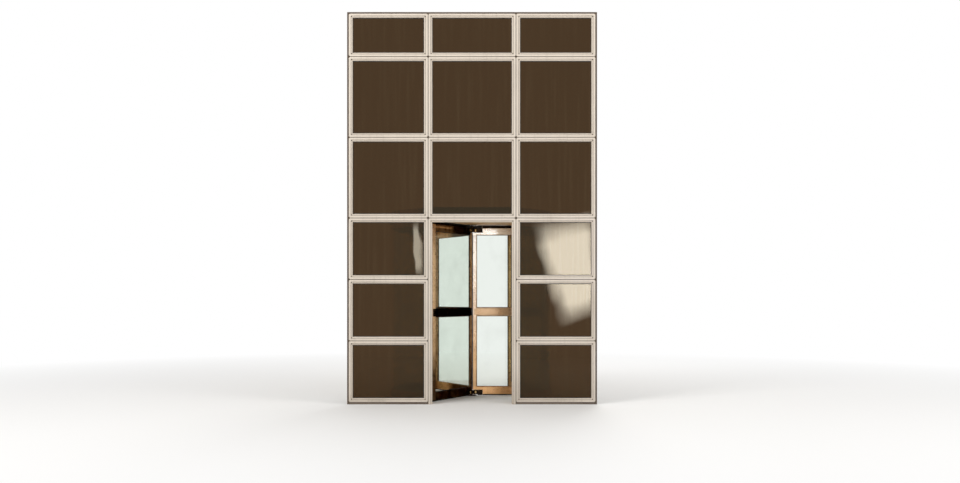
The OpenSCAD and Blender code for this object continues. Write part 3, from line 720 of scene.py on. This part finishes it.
def wing_finish(wing, turn):
    """One wing's bronze and painted light and shade, following face, stile or rail, and how far out a spot
    is.
    """
    material, tree, shader, turned, aged = bronze_finish(wing + " wing bronze", turn=turn)
    shader.inputs["Specular Tint"].default_value = wing_edge_tint
    out, through, up = axes(tree, turned)
    pushed_face = spread(tree, through, *pushed_y)
    unpushed_face = spread(tree, through, *unpushed_y)
    half_w = (glass_out_r - glass_in_r) / 2
    off_middle = distance(tree, out, (glass_in_r + glass_out_r) / 2)
    on_stile = spread(tree, off_middle, half_w - hairline, half_w + hairline)
    on_rail = arithmetic(tree, "SUBTRACT", 1.0, on_stile)
    outer_stile = product(tree, spread(tree, out, glass_out_r, glass_out_r + hairline), unpushed_face)
    at_foot = spread(tree, up, glass_low_z + bead_w + finish_edge, glass_low_z + bead_w)
    at_head = spread(tree, up, glass_top_z - bead_w - finish_edge, glass_top_z - bead_w)
    at_rails = either(tree, at_foot, at_head)

    # The bronze itself, from the plain one to the painted golden glow on the rails and the painted reflection
    # on the pushed face
    painted_glow = product(tree, at_rails, unpushed_face, on_rail)
    bronze = colour_mix(tree, at_foot, (*bronze_colour, 1), foot_bronze)
    bronze = colour_mix(tree, painted_glow, bronze, painted_glow_bronze)
    bronze = colour_mix(tree, outer_stile, bronze, pale_bronze)
    painted_reflection = product(tree, spread(tree, up, no_reflection_below_z, painted_reflection_above_z), pushed_face)
    bronze = colour_mix(tree, painted_reflection, bronze, painted_reflection_bronze)
    bronze = colour_mix(tree, product(tree, at_head, pushed_face), bronze, palest_painted_reflection)
    tree.links.new(bronze, aged.inputs["Bronze"])
    age = spread(tree, either(tree, painted_glow, at_head), 0.0, 1.0, 0.55, 0.2)
    tree.links.new(age, aged.inputs["Age"])
    level, upright = bronze_grain(tree, turned, "X"), bronze_grain(tree, turned, "Z")
    grain = shader_node(tree, "ShaderNodeMix", {0: on_stile, 2: level, 3: upright}).outputs[0]
    tree.links.new(grain, aged.inputs["Grain"])

    # The painted shade, black where deepest, which lets a paler painted highlight streak through on the top
    # rail
    shade_near_hub = product(tree, spread(tree, out, *shade_reach[wing], 1.0, 0.0), at_rails)
    shaded_head = spread(tree, distance(tree, up, highlight_streak_z), *highlight_streak_edge, shade_in_highlight_streak, darkest_shade_or_joint)
    shaded_head = product(tree, at_head, shaded_head)
    shaded_rails = product(tree, either(tree, at_foot, shaded_head), blackened[wing])
    painted_shade = product(tree, either(tree, shade_near_hub, shaded_rails), on_rail)
    shaded_stiles = spread(tree, up, unshaded_above_z, blackest_shade_below_z, 0.0, darkest_shade_or_joint)
    shaded_stiles = product(tree, shaded_stiles, blackened[wing], on_stile)
    painted_shade = product(tree, either(tree, painted_shade, shaded_stiles), unpushed_face)
    off_push = distance(tree, up, (push_low_z + push_top_z) / 2)
    beside_push = (push_top_z - push_low_z) / 2 + bead_w
    shaded_beads = spread(tree, off_push, beside_push + finish_edge, beside_push)
    shaded_beads = product(tree, shaded_beads, spread(tree, through, *bead_y), on_rail)
    painted_shade = either(tree, painted_shade, shaded_beads)
    unevenness = spread(tree, noise(tree, turned, 14.0, 5.0), 0.3, 0.6, 0.94, 1.0)
    painted_shade = product(tree, painted_shade, unevenness)

    # Where the painted glow shows, the metal is made mostly non-metallic so that its bright colour shows as
    # painted light, and a fine line marks where rail and stile meet
    glow_left_unshaded = product(tree, painted_glow, arithmetic(tree, "SUBTRACT", 1.0, painted_shade))
    tree.links.new(spread(tree, glow_left_unshaded, 0.0, 1.0, 1.0, 0.2), shader.inputs["Metallic"])
    joint = spread(tree, distance(tree, off_middle, half_w), *joint_edge, darkest_shade_or_joint, 0.0)
    dark = either(tree, painted_shade, joint)
    feed(tree, shader, colour_mix(tree, dark, aged.outputs["Color"], wing_shade_black))
    return material


for wing, turn in wing_turns.items():
    finish_nodes(wing_finish(wing, turn), wing + "_wing_frame")
    finish_nodes(clear_glass, wing + "_wing_glass")

# The glazing of the wings
# A black gasket lies between the glass and the beads on both faces.
# Small screws hold the beads, through their sloped fronts.
wing_bodies = {"front": "rotor", "right": "right_wing", "rear": "rear_wing"}
wing_lights = ((glass_low_z, push_low_z), (push_top_z, glass_top_z))
wing_glass_half_t = 0.005
wing_gasket_w, wing_gasket_h = 0.005, 0.003
bead_middle_half_t = 0.012
slope_out, slope_in = 0.8, 0.6
bead_screw_r, bead_screw_pitch = 0.0026, 0.25


def fit_to_wings(name, template, materials, smooth=False):
    """Fits the same shape to each wing, turned to the wing's own angle."""
    for wing, turn in wing_turns.items():
        bm = template.copy()
        bmesh.ops.rotate(bm, verts=bm.verts, cent=(0, 0, 0), matrix=Matrix.Rotation(turn, 3, "Z"))
        material = materials[wing] if isinstance(materials, dict) else materials
        fit_piece(wing + "_wing_" + name, bm, material, wing_bodies[wing], smooth)
    template.free()


template = bmesh.new()
inset = bead_w - bite
for z0, z1 in wing_lights:
    sight = (glass_in_r + inset, glass_out_r - inset, z0 + inset, z1 - inset)
    for face in (-1, 1):
        flat_ring(template, *sight, face * wing_glass_half_t, wing_gasket_w, face * wing_gasket_h)
fit_to_wings("gaskets", template, black_rubber, smooth=True)

template = bmesh.new()
seat_in = bead_w * 2 / 3
for z0, z1 in wing_lights:
    for face in (-1, 1):
        y = face * bead_middle_half_t
        for r in spaced(glass_in_r, glass_out_r, bead_screw_pitch):
            for z, inward in ((z0 + seat_in, 1), (z1 - seat_in, -1)):
                screw(template, (r, y, z), (0, face * slope_out, inward * slope_in), bead_screw_r)
        for z in spaced(z0, z1, bead_screw_pitch):
            for r, inward in ((glass_in_r + seat_in, 1), (glass_out_r - seat_in, -1)):
                screw(template, (r, y, z), (inward * slope_in, face * slope_out, 0), bead_screw_r)
fit_to_wings("bead_screws", template, screw_metal, smooth=True)

# The push rails
# A bronze rail with rounded edges crosses each wing at hand height. Its pushed face carries a brown bronze
# plate, worn by hands, and the other face a black plate over both stiles, whose black is painted shade.
rail_bronze, push_plate_bronze = (0.66, 0.45, 0.27), (0.46, 0.29, 0.155)
wing_half_t = 0.019
plate_t, plate_edge = 0.001, 0.0004
plate_face_y = wing_half_t + plate_t
push_plate_in_r, push_plate_out_r, push_plate_margin = 0.034, 1.012, 0.008
back_plate_in_r, back_plate_out_r = 0.021, 1.025
screws_in_r, screws_out_r = 0.046, 0.98
screws_low_z, screws_high_z = 1.115, 1.165
flat_screw_r, flat_screw_h = 0.0035, 0.0004


def wing_bronzes(name, bronze, age):
    """A bronze for each wing, rubbed level along that wing."""
    return {
        wing: bronze_finish(wing + " " + name, bronze, age, "X", turn)[0] for wing, turn in wing_turns.items()
    }


push_bronze = wing_bronzes("push rail bronze", rail_bronze, 0.2)
for wing in wing_turns:
    finish_nodes(push_bronze[wing], wing + "_wing_push_rail")
template = bmesh.new()
block(
    template, (push_plate_in_r, -plate_face_y, push_low_z + push_plate_margin),
    (push_plate_out_r, -wing_half_t, push_top_z - push_plate_margin), plate_edge,
)
fit_to_wings("push_plate", template, wing_bronzes("push plate bronze", push_plate_bronze, 0.4))

# The back plate's near-black colour stands in as painted shade
plate_shade_black, scuffed_brown = (0.007, 0.004, 0.0025, 1), (0.035, 0.022, 0.012, 1)
shade_black_bronze, tree, shader, place = new_finish(
    "black bronze as painted shade", Metallic=1.0, Specular_Tint=(0.2, 0.14, 0.1, 1)
)
scuffs = noise(tree, place, 30.0, 6.0)
feed(
    tree, shader, colour_mix(tree, spread(tree, scuffs, 0.55, 0.8), plate_shade_black, scuffed_brown),
    spread(tree, scuffs, 0.3, 0.8, 0.25, 0.5), scuffs, 0.0001,
)
template = bmesh.new()
back_plate_end = (back_plate_out_r, plate_face_y, push_top_z)
block(template, (back_plate_in_r, wing_half_t, push_low_z), back_plate_end, plate_edge)
fit_to_wings("back_plate", template, shade_black_bronze)

template = bmesh.new()
for r in (screws_in_r, screws_out_r):
    for z in (screws_low_z, screws_high_z):
        for face in (-1, 1):
            screw(template, (r, face * plate_face_y, z), (0, face, 0), flat_screw_r, flat_screw_h)
fit_to_wings("plate_screws", template, screw_metal)

# The inner edges of the wings
# A black rubber seal with a rounded front closes the slit between each inner stile and the shaft. Strips of
# the same rubber line the notches in the wing's corners, so that little light comes round the hubs' arms.
wing_in_r = 0.018
wing_low_z, wing_top_z = 0.022, 2.272
notch_r, notch_h = 0.150, 0.060
seal_tip_r, seal_half_t, seal_round = 0.009, 0.0085, 0.0045
seal_clear = 0.003
level_strip_h, upright_strip_w, strip_half_t, strip_edge = 0.0038, 0.0045, 0.007, 0.0012
level_strip_in_r = 0.070
low_edge, high_edge = wing_low_z + notch_h, wing_top_z - notch_h
template = bmesh.new()
block(
    template, (seal_tip_r, -seal_half_t, low_edge + seal_clear),
    (wing_in_r + 2 * bite, seal_half_t, high_edge - seal_clear), seal_round,
)
fit_to_wings("shaft_seal", template, black_rubber)

template = bmesh.new()
for z0, z1 in ((low_edge - level_strip_h, low_edge + bite), (high_edge - bite, high_edge + level_strip_h)):
    block(template, (level_strip_in_r, -strip_half_t, z0), (notch_r, strip_half_t, z1), strip_edge)
for z0, z1 in ((wing_low_z, low_edge), (high_edge, wing_top_z)):
    corner = (notch_r - upright_strip_w, -strip_half_t, z0)
    block(template, corner, (notch_r + bite, strip_half_t, z1), strip_edge)
fit_to_wings("notch_strips", template, black_rubber)

# The sweeps
# Black brush closes the gaps to the floor, the drum and the ceiling, under and over the hubs' arms too. A
# blackened carrier grips its tufts, which have worn to slightly different lengths. Rubber lips on the arms
# close the rest of the notches.
wing_out_r, tip_r = 1.028, 1.044
brush_low_z, brush_high_z, brush_end = 0.006, 2.314, 0.003
tuft_pitch, tuft_root_r, tuft_end_r = 0.0036, 0.0029, 0.0023
tuft_wear, tuft_stray = 0.0012, 0.0005
bristle_black, bristle_dust = (0.006, 0.005, 0.005, 1), (0.03, 0.026, 0.022, 1)
bristle, tree, shader, place = new_finish("black bristle", Roughness=0.85)
hairs = noise(tree, place, 1.0, 2.0, (900, 900, 900))
feed(tree, shader, colour_mix(tree, hairs, bristle_black, bristle_dust), None, hairs, 0.0005)
draw = random.Random(7)


def brush(bm, start, end, outward, reach):
    """A row of tufts from start to end, rooted in the carrier and pointing outward."""
    start, end, outward = Vector(start), Vector(end), Vector(outward)
    tufts = round((end - start).length / tuft_pitch)
    turn = outward.to_track_quat("Z", "Y").to_matrix().to_4x4()
    for i in range(tufts):
        length = reach - draw.uniform(0.0, tuft_wear)
        root = start.lerp(end, (i + 0.5) / tufts) + Vector((0, draw.uniform(-tuft_stray, tuft_stray), 0))
        bmesh.ops.create_cone(
            bm, cap_ends=True, segments=5, radius1=tuft_root_r, radius2=tuft_end_r, depth=length,
            matrix=Matrix.Translation(root + outward * length / 2) @ turn,
        )


def level_brush(bm, r0, r1, low_reach, high_reach):
    """Brush in line with the wings' level edges, downwards at the foot and upwards at the head."""
    brush(bm, (r0, 0, wing_low_z), (r1, 0, wing_low_z), (0, 0, -1), low_reach)
    brush(bm, (r0, 0, wing_top_z), (r1, 0, wing_top_z), (0, 0, 1), high_reach)


template = bmesh.new()
brush_in_r = notch_r - brush_end
low_reach, high_reach = wing_low_z - brush_low_z, brush_high_z - wing_top_z
brush(template, (brush_in_r, 0, wing_low_z), (wing_out_r, 0, wing_low_z), (0, 0, -1), low_reach)
outer_low, outer_high = (wing_out_r, 0, brush_low_z + brush_end), (wing_out_r, 0, brush_high_z - brush_end)
brush(template, outer_low, outer_high, (1, 0, 0), tip_r - wing_out_r)
brush(template, (brush_in_r, 0, wing_top_z), (wing_out_r, 0, wing_top_z), (0, 0, 1), high_reach)
fit_to_wings("brush", template, bristle)
for wing in wing_turns:
    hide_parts(wing + "_wing_sweeps")


def copy_to_arms(bm):
    """Copies what is modelled on one arm of the hubs to the other two."""
    one_arm = bm.verts[:] + bm.edges[:] + bm.faces[:]
    for turn in (math.radians(120), math.radians(240)):
        copied = bmesh.ops.duplicate(bm, geom=one_arm)["geom"]
        verts = [part for part in copied if isinstance(part, bmesh.types.BMVert)]
        bmesh.ops.rotate(bm, verts=verts, cent=(0, 0, 0), matrix=Matrix.Rotation(turn, 3, "Z"))


arm_in_r, arm_out_r, arm_tip_r = 0.082, 0.1435, 0.143
plate_clear = 0.005
bm = bmesh.new()
level_brush(bm, arm_in_r, arm_out_r, low_reach, high_reach)
level_brush(bm, hub_r, arm_in_r, wing_low_z - plate_z - plate_clear, flange_z - wing_top_z - plate_clear)
copy_to_arms(bm)
fit_piece("arm_brushes", bm, bristle, "rotor")

arm_low_z, arm_high_z = 0.076, 2.218
lip_half_t, lip_gap, lip_edge = 0.004, 0.0005, 0.0006
lip_in_r, lip_out_r = 0.075, 0.145
lip_low_z, lip_high_z = low_edge - level_strip_h - lip_gap, high_edge + level_strip_h + lip_gap
bm = bmesh.new()
for z0, z1, wing_end_z in (
    (arm_low_z - bite, lip_low_z, wing_low_z), (lip_high_z, arm_high_z + bite, wing_top_z)
):
    block(bm, (lip_in_r, -lip_half_t, z0), (arm_tip_r, lip_half_t, z1), lip_edge)
    foot = (arm_tip_r - bite, -lip_half_t, min(z0, wing_end_z))
    block(bm, foot, (lip_out_r, lip_half_t, max(z1, wing_end_z)), lip_edge)
copy_to_arms(bm)
fit_piece("arm_lips", bm, black_rubber, "rotor")

carrier_black, carrier_worn = (0.012, 0.008, 0.005, 1), (0.08, 0.045, 0.02, 1)
black_carrier, tree, shader, place = new_finish(
    "blackened carrier", Metallic=1.0, Specular_Tint=(0.25, 0.18, 0.13, 1)
)
wear = noise(tree, place, 60.0, 4.0)
feed(
    tree, shader, colour_mix(tree, spread(tree, wear, 0.5, 0.8), carrier_black, carrier_worn),
    spread(tree, wear, 0.3, 0.7, 0.3, 0.5),
)
carrier_in_y, carrier_out_y, carrier_edge = 0.0032, 0.0056, 0.0006
grip_h, top_grip_h = 0.008, 0.026
template = bmesh.new()
for y0, y1 in ((-carrier_out_y, -carrier_in_y), (carrier_in_y, carrier_out_y)):
    block(template, (notch_r, y0, wing_low_z - grip_h), (wing_out_r, y1, wing_low_z + bite), carrier_edge)
    block(template, (notch_r, y0, wing_top_z - bite), (wing_out_r, y1, wing_top_z + top_grip_h), carrier_edge)
    block(template, (wing_out_r - bite, y0, wing_low_z), (wing_out_r + grip_h, y1, wing_top_z), carrier_edge)
fit_to_wings("brush_carriers", template, black_carrier)

# The studio
# A plain pale floor fades into a white surround. A large soft lamp stands high on the left, weaker ones
# stand round about, and the dark panes reflect two tall cool lamps, whose edges fade out.
floor_z, floor_r = -0.001, 90
pale_within_r, white_beyond_r = 2.5, 11.0
floor_bm = bmesh.new()
bmesh.ops.create_circle(
    floor_bm, cap_ends=True, segments=96, radius=floor_r, matrix=Matrix.Translation((0, 0, floor_z))
)
floor_mesh = bpy.data.meshes.new("floor")
floor_bm.to_mesh(floor_mesh)
floor_bm.free()
floor = bpy.data.objects.new("floor", floor_mesh)
bpy.context.scene.collection.objects.link(floor)
floor_finish, tree, shader, place = new_finish(
    "pale floor", Roughness=0.7, Base_Color=(0.80, 0.785, 0.76, 1)
)
away = shader_node(tree, "ShaderNodeVectorMath", {0: place}, operation="LENGTH").outputs["Value"]
fade = spread(tree, away, pale_within_r, white_beyond_r)
white = shader_node(tree, "ShaderNodeEmission", {"Color": (1, 1, 1, 1), "Strength": 1.0})
blend = shader_node(tree, "ShaderNodeMixShader", {0: fade, 1: shader.outputs[0], 2: white.outputs[0]})
tree.links.new(blend.outputs[0], tree.nodes["Material Output"].inputs["Surface"])
floor_mesh.materials.append(floor_finish)

# The surround is white where it is seen, and lights the door less strongly
surround_light = 0.55
world = bpy.data.worlds.new("surround")
bpy.context.scene.world = world
world.use_nodes = True
tree = world.node_tree
light_path = tree.nodes.new("ShaderNodeLightPath").outputs
seen = either(tree, light_path["Is Camera Ray"], light_path["Is Glossy Ray"])
seen = either(tree, seen, light_path["Is Transmission Ray"])
tree.nodes["Background"].inputs["Color"].default_value = (1, 1, 1, 1)
tree.links.new(spread(tree, seen, 0, 1, surround_light, 1.0), tree.nodes["Background"].inputs["Strength"])

# Each lamp has its place, its power in watts, its width and height, and its lean in degrees
lamps = {
    "key": ((-7.5, -9.0, 9.0), 850, (5.0, 5.0), 0),
    "fill": ((8.0, -7.0, 6.0), 330, (5.0, 5.0), 0),
    "back": ((3.0, 9.0, 8.0), 430, (5.0, 5.0), 0),
    "window": ((2.85, -16.0, 2.1), 335, (1.75, 2.9), 14),
    "strip": ((-1.34, -16.0, 2.65), 11, (0.22, 1.6), 3),
}
lamp_aim = Vector((0, 0, 2.0))
cool_white = (0.80, 0.93, 1.20)
fade_w = 0.22


def soften_ends(lamp_data):
    """Lets a lamp fade out towards all four of its edges."""
    lamp_data.use_nodes = True
    tree = lamp_data.node_tree
    over_lamp = axes(tree, tree.nodes.new("ShaderNodeNewGeometry").outputs["Parametric"])
    fades = [
        spread(tree, over_lamp[axis], edge, inside)
        for axis in "XY" for edge, inside in ((0, fade_w), (1, 1 - fade_w))
    ]
    tree.links.new(product(tree, *fades), tree.nodes["Emission"].inputs["Strength"])


for name, (place, power, size, lean) in lamps.items():
    lamp_data = bpy.data.lights.new(name, "AREA")
    lamp_data.energy = power
    lamp_data.shape = "RECTANGLE"
    lamp_data.size, lamp_data.size_y = size
    lamp = bpy.data.objects.new(name, lamp_data)
    lamp.location = place
    facing = (lamp_aim - lamp.location).to_track_quat("-Z", "Y").to_matrix()
    lamp.rotation_euler = (facing @ Matrix.Rotation(math.radians(lean), 3, "Z")).to_euler()
    lamp.visible_camera = False
    lamp.visible_transmission = False
    bpy.context.scene.collection.objects.link(lamp)
    if lean:
        lamp_data.color = cool_white
        soften_ends(lamp_data)

bpy.context.scene.view_settings.view_transform = "Standard"
